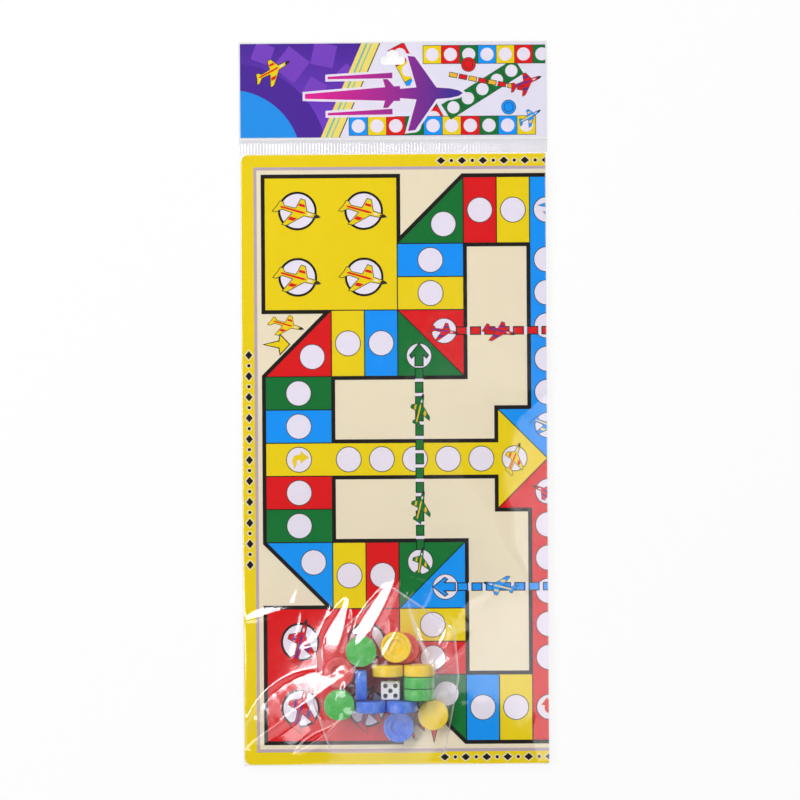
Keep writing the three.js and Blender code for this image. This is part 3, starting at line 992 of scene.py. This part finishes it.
def crumpled(x, y, seed, count, low, high, lean):
    """Small creases, most of them leaning one way."""
    chance = np.random.default_rng(seed)
    total = np.zeros(x.shape)
    for _ in range(count):
        cx, cy = chance.uniform(low[0], high[0]), chance.uniform(low[1], high[1])
        turn = math.radians(chance.normal(lean, 30))
        half = chance.uniform(5, 14)
        bow = chance.normal(0, 2)
        path = [
            (cx - half * math.cos(turn), cy - half * math.sin(turn)),
            (cx - bow * math.sin(turn), cy + bow * math.cos(turn)),
            (cx + half * math.cos(turn), cy + half * math.sin(turn)),
        ]
        total += ridge(x, y, path, chance.uniform(2.5, 5.5), chance.uniform(0.2, 0.6))
    return total


COUNTERS = [f"counter_{ink}_{i}" for ink in RING for i in (1, 2, 3, 4)]


def heap_height(x, y):
    """The top of the heap at each place, with a little room above it."""
    height = np.zeros(x.shape)
    room = HEAP_ROOM
    for node in COUNTERS + ["die"]:
        low, high = box_mm(node)
        middle = (low + high) / 2
        half = (high - low) / 2
        dx, dy = x - middle[0], y - middle[1]
        if node == "die":
            top = np.where((abs(dx) < half[0] + room) & (abs(dy) < half[1] + room), high[2], 0)
        elif half[2] < half[0] and half[2] < half[1]:
            top = np.where(np.hypot(dx, dy) < half[0] + room, high[2], 0)
        else:
            across, along = (dx, dy) if half[1] < half[0] else (dy, dx)
            radius = half[2]
            round_top = middle[2] + np.sqrt(np.maximum(0, radius ** 2 - across ** 2))
            over = (abs(across) < radius) & (abs(along) < min(half[0], half[1]) + room)
            top = np.where(over, round_top, 0)
        height = np.maximum(height, top + room)
    return height


# Pleats of the bag over the pouch: path from the foot up, width and where it is widest
PLEATS = [
    ([(-82, -182), (-64, -160), (-46, -148), (-24, -140)], 14.0, 0.5),
    ([(-22, -127), (-12, -110), (2, -88)], 7.6, 0.36),
    ([(-36, -142), (-34, -126), (-24, -101)], 9.0, 0.45),
    ([(-56, -184), (-41, -173), (-26, -161)], 4.0, 0.5),
    ([(-14, -144), (-5, -127), (4, -111)], 2.6, 0.6),
    ([(20, -130), (24, -122), (27, -114)], 3.0, 0.45),
    ([(11, -109), (15, -101), (18, -93)], 2.0, 0.5),
    ([(-80, -113), (-66, -108), (-50, -107)], 5.0, 0.35),
    ([(1, -106), (6, -99), (11, -95)], 2.4, 0.5),
]
# Pleats turned to the lamp on the other side
EDGE_PLEATS = [
    ([(19, -138), (29, -129), (42, -118)], 6.0, 0.4),
]
# Welds and edges of the pouch that crease the bag above it: the first two also show on the pouch, as
# painted highlight lines where its film's mirror share is raised
SEAM_LINES = [
    [(-30, -98), (-38, -120), (-40, -144)],
    [(5.5, -101), (12, -123), (22, -144)],
    [(0, -89), (22, -96), (41, -118)],
]
# The fold of the bag beside the spine, from the head down: beyond it the film slopes to the spine
SPINE_FOLD = [(80, 6), (64, -8), (57, -28), (58, -56), (66, -84), (71, -120), (72, -188)]
SPINE_SLOPE = 0.14
SPINE_FADE = 24.0
SPINE_WAVER = (1.5, 5.3, 20.0)


def spine_shelf(x, y, edge):
    """How far the film stands off the board beside the spine."""
    fold = np.interp(-y, [-p[1] for p in SPINE_FOLD], [p[0] for p in SPINE_FOLD])
    wide, length, start = SPINE_WAVER
    fold = fold + wide * np.sin(y / length) * np.clip(-y / start, 0, 1)
    crest = SPINE_SLOPE * np.clip(edge - fold, 0, None)
    return np.where(x > fold, SPINE_SLOPE * (edge - x), crest * np.exp((x - fold) / SPINE_FADE))


# The pouch's outline as shares of its box: along the head, then up the left and the right
POUCH_HEAD = [(0.0, 0.6), (0.53, 1.0), (1.0, 0.74)]
POUCH_LEFT = [(0.0, 0.12), (0.5, 0.0), (1.0, 0.03)]
POUCH_RIGHT = [(0.0, 0.9), (0.6, 1.0), (1.0, 0.97)]


def shares(run, at):
    return np.interp(at, [p[0] for p in run], [p[1] for p in run])


def make_pouch(material):
    low, high = box_mm("pouch_front_film")
    floor = box_mm("pouch_rear_film")[0][2]
    flat = low[2] + FILM
    u, v = np.meshgrid(*[np.linspace(0, 1, count) for count in POUCH_GRID])
    left, right = shares(POUCH_LEFT, v), shares(POUCH_RIGHT, v)
    x = low[0] + (high[0] - low[0]) * (left + (right - left) * u)
    y = low[1] + (high[1] - low[1]) * shares(POUCH_HEAD, u) * v
    height = stretched(np.maximum(heap_height(x, y), flat), flat)
    inside = np.minimum.reduce([u, 1 - u, v, 1 - v]) * (high[0] - low[0])
    from_edge, grows_over = POUCH_SLACK
    slack = np.clip((inside - from_edge) / grows_over, 0, 1)
    height = height + slack * np.minimum(crumpled(x, y, 7, 30, low, high, 55), POUCH_CREASE)
    seam = np.clip(POUCH_SEAM - inside, 0, 1)
    height = np.maximum(height * (1 - seam) + seam * flat, flat)
    outer = np.dstack([x, y, height])
    inner = np.dstack([x, y, np.full(x.shape, floor)])
    pouch = film_piece("pouch_sheet", outer, inner, material)
    # Mirror share raised on the real rim seal and, as a painted highlight, along the first two seam
    # lines
    weld = np.clip(WELD_WIDTH - inside, 0, 1)
    for path in SEAM_LINES[:2]:
        weld = np.maximum(weld, ridge(x, y, bent_path(path), SEAM_WIDTH, 1.0))
    weld_and_sheen_layer = pouch.data.attributes.new("weld", "FLOAT", "POINT")
    weld_and_sheen_layer.data.foreach_set("value", np.concatenate([weld, np.zeros(weld.shape)]).ravel())
    dress(pouch, "pouch", "clear_film", "pouch_front_film", "pouch_rear_film")


def edge_run(places, wall, wrap_high):
    """Places along one side of a tray of film with bent edges, and how far each drops below the flat."""
    bend = [(0.0, -wall), (0.0, -0.7), (0.2, -0.2), (0.7, 0.0)]
    low, high = places[0], places[-1]
    inner = places[(places > low + BEND_REACH) & ((places < high - BEND_REACH) | (not wrap_high))]
    run = [low + near for near, _ in bend] + list(inner)
    drops = [drop for _, drop in bend] + [0.0] * len(inner)
    if wrap_high:
        run += [high - near for near, _ in reversed(bend)]
        drops += [drop for _, drop in reversed(bend)]
    return np.array(run), np.array(drops)


def make_bag(material):
    low, high = box_mm("bag_front_film")
    rear_low, rear_high = box_mm("bag_rear_film")
    flat = box_mm("front_print")[1][2] + BAG_OVER_BOARD
    grid_x = np.linspace(low[0], high[0], int((high[0] - low[0]) / FINE_STEP))
    lower = np.linspace(low[1], COARSE_FROM, int((COARSE_FROM - low[1]) / FINE_STEP))
    upper = np.linspace(COARSE_FROM, high[1], int((high[1] - COARSE_FROM) / COARSE_STEP))
    gx, gy = np.meshgrid(grid_x, lower)
    pouch_low, pouch_high = box_mm("pouch_front_film")
    reach = POUCH_PLAY + PLAY_ROOM
    beside = np.minimum(gx - pouch_low[0], pouch_high[0] - gx) + reach
    beside = np.minimum.reduce([beside, gy - pouch_low[1], pouch_high[1] - gy])
    shifts = np.linspace(-reach, reach, PLAY_STEPS)
    heap = np.maximum.reduce([heap_height(gx + shift, gy) for shift in shifts])
    under = np.maximum(heap + BAG_OVER_HEAP, np.where(beside > 0, pouch_low[2] + BAG_OVER_POUCH, flat))
    height = stretched(under, flat)
    height = np.maximum(height, flat + spine_shelf(gx, gy, high[0]))
    lowest = height - BAG_SAG
    raised = np.clip((height - flat) / CREASED_FROM, 0, 1)
    height = height + raised * crumpled(gx, gy, 11, 14, (-70, -180), (60, -80), 50)
    for lamp, pleats in ((KEY_PLACE, PLEATS), (EDGE_PLACE, EDGE_PLEATS)):
        for path, width, belly in pleats:
            height = pleated(height, grid_x, lower, path, width, belly, lamp)
    for path in SEAM_LINES:
        height = height + ridge(gx, gy, bent_path(path), *SEAM_CREASE)
    height = np.clip(height, np.maximum(lowest, flat), high[2])
    xs, drop_x = edge_run(grid_x, flat - low[2], False)
    ys, drop_y = edge_run(np.concatenate([lower, upper[1:]]), flat - low[2], True)
    x, y = np.meshgrid(xs, ys)
    drop = np.minimum(drop_x[None, :], drop_y[:, None])
    z = np.where(y < COARSE_FROM, looked_up(height, grid_x, lower, x, y), flat)
    z = np.where(drop < 0, flat + drop, z)
    outer = np.dstack([x, y, z])
    front = film_piece("bag_front_sheet", outer, inside_of(outer), material)
    dress(front, "bag_front", "clear_film", "bag_front_film")
    wall = rear_high[2] - rear_low[2]
    xs, drop_x = edge_run(np.linspace(rear_low[0], rear_high[0], REAR_GRID[0]), wall, False)
    ys, drop_y = edge_run(np.linspace(rear_low[1], rear_high[1], REAR_GRID[1]), wall, True)
    x, y = np.meshgrid(xs[::-1], ys)
    rise = -np.minimum(drop_x[None, ::-1], drop_y[:, None])
    outer = np.dstack([x, y, rear_low[2] + rise])
    rear = film_piece("bag_rear_sheet", outer, inside_of(outer), material)
    dress(rear, "bag_rear", "clear_film", "bag_rear_film")


def make_header_films(material):
    for side in ("front", "rear"):
        node = f"header_{side}_film"
        low, high = box_mm(node)
        art = Artwork()
        art.paint("paper", block(0, 0, 200, 200))
        art.paint(None, hang_slot(0.0, HANG_DROP - high[1]))
        ground = block(0, -(low[1] + high[1]) / 2, (high[0] - low[0]) / 2, (high[1] - low[1]) / 2)
        outer = high[2] if side == "front" else low[2]
        inner = outer - FILM if side == "front" else outer + FILM

        def film(x, y, z):
            return (x * MM, -y * MM, z * MM)

        made = printed_sheet(
            f"header_{side}_sheet", art, ground,
            lambda x, y: film(x, y, outer), lambda x, y: film(x, y, inner), material)
        made.visible_shadow = False
        dress(made, "header", "clear_film", node)


# Ribs of the seal, and where they fade into its flat lip
RIB_PITCH = 1.62
RIB_DEPTH = 0.2
RIB_THICKNESS = 0.16
LIP_FROM = 1.3
LIP_TO = 0.9


def make_crimp(material):
    """The ribbed seal: a sheet waved along its length, with a flat edge above, made thick."""
    low, high = box_mm("crimp_seal")
    rule = Pattern("ribbed_seal")
    width = rule.take("Width", "Float", float(high[0] - low[0]) * MM)
    tall = rule.take("Height", "Float", float(high[1] - low[1]) * MM)
    pitch = rule.take("Pitch", "Float", RIB_PITCH * MM)
    depth = rule.take("Depth", "Float", RIB_DEPTH * MM)
    thick = rule.take("Thickness", "Float", RIB_THICKNESS * MM)
    middle_y = rule.take("Middle", "Float", float(low[1] + high[1]) / 2 * MM)
    middle_z = rule.take("Level", "Float", float(low[2] + high[2]) / 2 * MM)
    columns = rule.take("Columns", "Int", 801)
    grid = rule.node("GeometryNodeMeshGrid", None, {0: width, 1: tall, 2: columns, 3: 9})
    place = rule.node("ShaderNodeSeparateXYZ", None, {0: rule.node("GeometryNodeInputPosition")})
    x, y = place, place.other(1)
    wave = rule.node("ShaderNodeMath", {"operation": "SINE"}, {0: x * (2 * math.pi) / pitch})
    share = rule.node("ShaderNodeMapRange", None, {
        0: y, 1: 0.5 * tall - LIP_FROM * MM, 2: 0.5 * tall - LIP_TO * MM, 3: 1.0, 4: 0.0})
    level = 0.5 * depth * wave * share + middle_z - 0.5 * thick
    lift = rule.node("ShaderNodeCombineXYZ", None, {1: middle_y, 2: level})
    waved = rule.node("GeometryNodeSetPosition", None, {"Geometry": grid, "Offset": lift})
    sockets = {"Mesh": waved, "Offset Scale": thick, "Individual": False}
    upper = rule.node("GeometryNodeExtrudeMesh", None, sockets)
    lower = rule.node("GeometryNodeFlipFaces", None, {0: waved})
    joined = rule.tree.nodes.new("GeometryNodeJoinGeometry")
    for part in (upper, lower):
        rule.tree.links.new(part.socket, joined.inputs[0])
    sockets = {0: Value(rule, joined.outputs[0]), "Distance": 1e-6}
    whole = rule.node("GeometryNodeMergeByDistance", None, sockets)
    rule.done(whole, material)
    band = piece_of("crimp_ribs", [], [])
    rule.apply(band)
    smooth(band, 50)
    dress(band, "bag_front", "clear_film", "crimp_seal")


# Counters and die
def counter_blank():
    """A turned blank about the Z axis, centred, with its well up."""
    outer, half, rim, step = 8.0, 2.95, 6.5, 2.25
    well, floor = 4.2, 0.55
    eased = [(0.6, 0.0), (0.25, 0.12), (0.05, 0.35), (0.0, 0.6)]
    profile = [(0, -half)]
    profile += [(outer - inward, up - half) for inward, up in eased]
    profile += [(outer - inward, half - down) for inward, down in reversed(eased)]
    profile += [
        (rim + 0.3, half), (rim + 0.08, half - 0.08), (rim, half - 0.25), (rim - 0.05, step + 0.1),
        (rim - 0.15, step), (well + 0.3, step), (well + 0.08, step - 0.1), (well, step - 0.3),
        (well - 0.1, floor + 0.2), (well - 0.35, floor), (0, floor),
    ]
    sides = 48
    points = [(0, 0, profile[0][1] * MM)]
    for radius, z in profile[1:-1]:
        for i in range(sides):
            turn = 2 * math.pi * i / sides
            points.append((radius * math.cos(turn) * MM, radius * math.sin(turn) * MM, z * MM))
    points.append((0, 0, profile[-1][1] * MM))
    rings = len(profile) - 2
    last = len(points) - 1

    def ring(k, i):
        return 1 + k * sides + i % sides

    faces = [(0, ring(0, i + 1), ring(0, i)) for i in range(sides)]
    for k in range(rings - 1):
        faces += [(ring(k, i), ring(k, i + 1), ring(k + 1, i + 1), ring(k + 1, i)) for i in range(sides)]
    faces += [(last, ring(rings - 1, i), ring(rings - 1, i + 1)) for i in range(sides)]
    blank = piece_of("counter_blank", points, faces)
    smooth(blank, 30)
    return blank


WELL_UP = ["counter_red_1", "counter_yellow_1", "counter_blue_2"]
COUNTER_INKS = {
    "yellow": ((255, 222, 22), (250, 202, 4)),
    "red": ((248, 92, 86), (232, 50, 54)),
    "green": ((86, 202, 84), (30, 162, 66)),
    "blue": ((72, 134, 242), (24, 84, 214)),
}


def lie_of(node):
    """The middle of a counter and the turn that lays the blank as the counter lies."""
    low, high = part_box(node)
    size = high - low
    quarter = math.pi / 2
    if size.z < min(size.x, size.y):
        turn = (0.0, 0.0, 0.0) if node in WELL_UP else (math.pi, 0.0, 0.0)
    elif size.x < size.y:
        turn = (0.0, -quarter, 0.0)
    else:
        turn = (quarter, 0.0, 0.0)
    return (low + high) / 2, turn


def make_counters():
    """Each colour's four counters are one blank set on the four places."""
    blank = counter_blank()
    for ink, (rgb, deep) in COUNTER_INKS.items():
        nodes = [f"counter_{ink}_{i}" for i in (1, 2, 3, 4)]
        lies = [lie_of(node) for node in nodes]
        piece = piece_of(f"counters_{ink}", [middle for middle, _ in lies], [])
        turns = piece.data.attributes.new("turn", "FLOAT_VECTOR", "POINT")
        for item, (_, turn) in zip(turns.data, lies):
            item.vector = turn
        rule = Pattern(f"set_{ink}_counters")
        places = rule.take("Places", "Geometry")
        body = rule.take("Blank", "Object", blank)
        source = rule.node("GeometryNodeObjectInfo", None, {"Object": body}, out="Geometry")
        settings = {"data_type": "FLOAT_VECTOR"}
        named = rule.node("GeometryNodeInputNamedAttribute", settings, {"Name": "turn"})
        facing = rule.node("FunctionNodeEulerToRotation", None, {0: named})
        points = rule.node("GeometryNodeMeshToPoints", None, {"Mesh": places})
        placed = rule.node("GeometryNodeInstanceOnPoints", None, {
            "Points": points, "Instance": source, "Rotation": facing})
        rule.done(placed, moulded(f"{ink}_plastic", rgb, deep))
        rule.apply(piece)
        dress(piece, "pouch", f"{ink}_plastic", *nodes)
    bpy.data.objects.remove(blank)


PIPS = {
    1: [(0, 0)],
    2: [(-1, -1), (1, 1)],
    3: [(-1, -1), (0, 0), (1, 1)],
    4: [(-1, -1), (-1, 1), (1, -1), (1, 1)],
    5: [(-1, -1), (-1, 1), (0, 0), (1, -1), (1, 1)],
    6: [(-1, -1), (-1, 0), (-1, 1), (1, -1), (1, 0), (1, 1)],
}
# The face of each value: its axis, and which end of it
DIE_FACES = {5: (2, 1), 2: (2, -1), 1: (1, -1), 6: (1, 1), 3: (0, 1), 4: (0, -1)}
# Shares of the die's side
DIE_EASE = 0.115
PIP_BALL = 0.16
PIP_DEPTH = 0.055
PIP_SPREAD = 0.26


def pip_places(middle, side, ball, depth):
    """Where the balls stand that press the pips into the die's faces."""
    reach = side / 2 + ball - depth
    spread = PIP_SPREAD * side
    places = []
    for value, (axis, sign) in DIE_FACES.items():
        for u, v in PIPS[value]:
            place = [u * spread, v * spread]
            place.insert(axis, sign * reach)
            places.append(tuple(m + p for m, p in zip(middle, place)))
    return places


def make_die():
    """A cube with eased edges, and pips pressed in and inked."""
    low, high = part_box("die")
    middle = (low + high) / 2
    side = high.x - low.x
    mesh = bmesh.new()
    bmesh.ops.create_cube(mesh, size=side)
    ease = DIE_EASE * side
    bmesh.ops.bevel(mesh, geom=mesh.edges[:], offset=ease, segments=5, profile=0.5, affect="EDGES")
    bmesh.ops.translate(mesh, verts=mesh.verts, vec=middle)
    white = moulded("white_plastic", (255, 252, 253), (250, 246, 250))
    die = piece_of("die_cube", [], [], white)
    mesh.to_mesh(die.data)
    mesh.free()
    ball, depth = PIP_BALL * side, PIP_DEPTH * side
    balls = piece_of("pip_balls", pip_places(middle, side, ball, depth), [])
    rule = Pattern("pressed_pips")
    cube = rule.take("Cube", "Geometry")
    source = rule.take("Places", "Object", balls)
    radius = rule.take("Radius", "Float", ball)
    info = rule.node("GeometryNodeObjectInfo", None, {"Object": source}, out="Geometry")
    points = rule.node("GeometryNodeMeshToPoints", None, {"Mesh": info})
    sphere = rule.node("GeometryNodeMeshUVSphere", None, {"Segments": 20, "Rings": 14, "Radius": radius})
    inked = rule.node("GeometryNodeSetMaterial", None, {
        "Geometry": sphere, "Material": moulded("pip_ink", (72, 62, 84), (58, 48, 70))})
    placed = rule.node("GeometryNodeInstanceOnPoints", None, {"Points": points, "Instance": inked})
    whole = rule.node("GeometryNodeRealizeInstances", None, {0: placed})
    pressed = rule.tree.nodes.new("GeometryNodeMeshBoolean")
    pressed.operation = "DIFFERENCE"
    rule.tree.links.new(cube.socket, pressed.inputs[0])
    rule.tree.links.new(whole.socket, pressed.inputs[1])
    rule.node("NodeGroupOutput", None, {0: Value(rule, pressed.outputs[0])})
    rule.apply(die)
    bpy.data.objects.remove(balls)
    smooth(die, 40)
    dress(die, "pouch", "white_plastic", "die")


# Studio, in metres and degrees
STAGE_REACH = 4.0
STAGE_RISE = 2.4
STAGE_LEVEL = -0.0002
STAGE_SIDES = 64
SKY_GLOW = 0.08
CAMERA_SPAN = 0.4208
CAMERA_ROLL = -0.38
# Lamps: name, place, what it is aimed at, width, height and brightness
LAMPS = [
    ("key_strip", KEY_PLACE, (-0.02, -0.12, 0.0), 1.5, 0.22, 10.5),
    ("edge_strip", EDGE_PLACE, (0.0, -0.1, 0.0), 0.5, 0.05, 15.0),
    ("side_softbox", (0.8, -0.15, 0.85), (0.03, -0.1, 0.0), 0.7, 1.0, 1.1),
    ("spine_softbox", (0.4, -0.2, 1.2), (0.06, -0.1, 0.0), 0.34, 0.9, 0.28),
    ("fill_softbox", (-0.8, -0.9, 0.9), (0.0, 0.0, 0.0), 0.7, 0.7, 2.9),
    ("head_softbox", (0.2, 1.3, 0.9), (0.0, 0.1, 0.0), 0.9, 0.5, 3.5),
]


def pale_stage(name, rgb, share):
    """A pale surface that shows near white and still takes a shadow."""
    stage = Finish(name)
    camera = stage.node("ShaderNodeLightPath", out="Is Camera Ray")
    seen = camera + camera.other("Is Glossy Ray") + camera.other("Is Transmission Ray")
    matt = stage.node("ShaderNodeBsdfDiffuse", None, {"Color": opaque(rgb)})
    bright = stage.node("ShaderNodeEmission", None, {"Color": (1.0, 1.0, 1.0, 1.0), "Strength": 1.0})
    return stage.done(stage.node("ShaderNodeMixShader", None, {0: share * seen, 1: matt, 2: bright}))


def softbox(name, place, aim, width, tall, glow):
    """An area lamp of a given brightness, not seen by the camera itself."""
    lamp = bpy.data.lights.new(name, "AREA")
    lamp.shape = "RECTANGLE"
    lamp.size = width
    lamp.size_y = tall
    lamp.energy = glow * math.pi * width * tall
    made = bpy.data.objects.new(name, lamp)
    made.location = place
    made.rotation_euler = (Vector(aim) - Vector(place)).to_track_quat("-Z", "Y").to_euler()
    made.visible_camera = False
    bpy.context.collection.objects.link(made)


def make_studio():
    sides = STAGE_SIDES
    rim = circle(0.0, 0.0, STAGE_REACH, sides)
    foot = [(x, y, STAGE_LEVEL) for x, y in rim]
    head = [(x, y, STAGE_RISE) for x, y in rim]
    floor = piece_of("floor", foot, [tuple(range(sides))], pale_stage("floor", (250, 250, 250), 0.87))
    quads = [((i + 1) % sides, i, i + sides, (i + 1) % sides + sides) for i in range(sides)]
    wall = piece_of("backdrop", foot + head, quads, pale_stage("backdrop", (244, 244, 246), 0.9))
    for lamp in LAMPS:
        softbox(*lamp)
    world = bpy.data.worlds.new("studio")
    world.use_nodes = True
    sky = world.node_tree.nodes["Background"]
    sky.inputs["Color"].default_value = (1.0, 1.0, 1.0, 1.0)
    sky.inputs["Strength"].default_value = SKY_GLOW
    bpy.context.scene.world = world


def make_camera():
    lens = bpy.data.cameras.new("camera")
    lens.sensor_width = 36.0
    lens.lens = lens.sensor_width * CAMERA_PLACE[2] / CAMERA_SPAN
    lens.clip_end = 20.0
    camera = bpy.data.objects.new("camera", lens)
    camera.location = CAMERA_PLACE
    camera.rotation_euler = (0.0, 0.0, math.radians(CAMERA_ROLL))
    bpy.context.collection.objects.link(camera)
    bpy.context.scene.camera = camera
    bpy.context.scene.view_settings.view_transform = "Standard"
    bpy.context.scene.cycles.transparent_max_bounces = 48


make_camera()
make_studio()
make_prints()
make_header_card()
for solid, finish in (("core", greyboard()), ("hinge_tape", book_tape())):
    for leaf in ("front", "rear"):
        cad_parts[f"{leaf}_{solid}"].material_slots[0].material = finish
make_counters()
make_die()
CLEAR = (250, 249, 254)
bag_film = clear_film("bag_film", CLEAR, body=0.024, haze=0.0, ripple=0.0003)
make_pouch(clear_film("pouch_film", CLEAR, body=0.03, haze=0.5, ripple=0.001))
make_bag(bag_film)
make_header_films(bag_film)
make_crimp(clear_film("crimped_film", (224, 219, 234), body=0.26, haze=0.7, ripple=0.0004))
